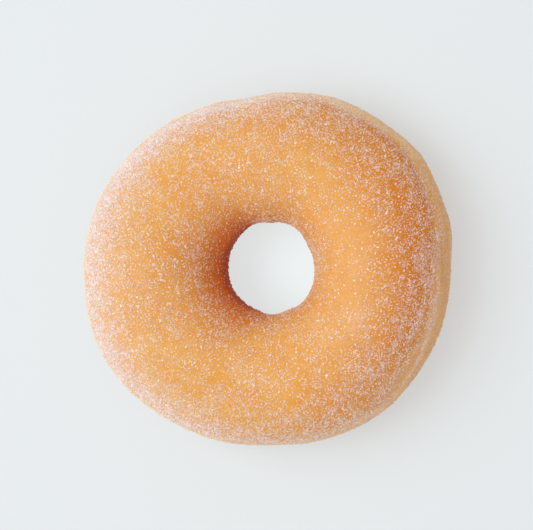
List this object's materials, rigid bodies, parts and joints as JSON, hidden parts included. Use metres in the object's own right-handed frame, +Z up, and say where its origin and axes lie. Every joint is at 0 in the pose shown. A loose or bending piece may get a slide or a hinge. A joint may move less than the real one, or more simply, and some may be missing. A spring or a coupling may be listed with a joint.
{
  "type": "sugared ring doughnut",
  "caption": "Sugared ring doughnut: an uneven ring of fried yeast dough with a round hole through it, lying flat on its settled underside.",
  "frame": {"origin": "on the surface that the doughnut lies on, under the middle of its outline", "axes": "+Z up, through the hole and out of the crown; +X along the outline's longest way; +Y across it"},
  "size_m": [0.0862, 0.0816, 0.0317],
  "materials": {
    "sugared_crust": "matte",
    "sugar": "satin"
  },
  "bodies": {
    "root": {"dough_ring": "sugared_crust"}
  },
  "joints": []
}
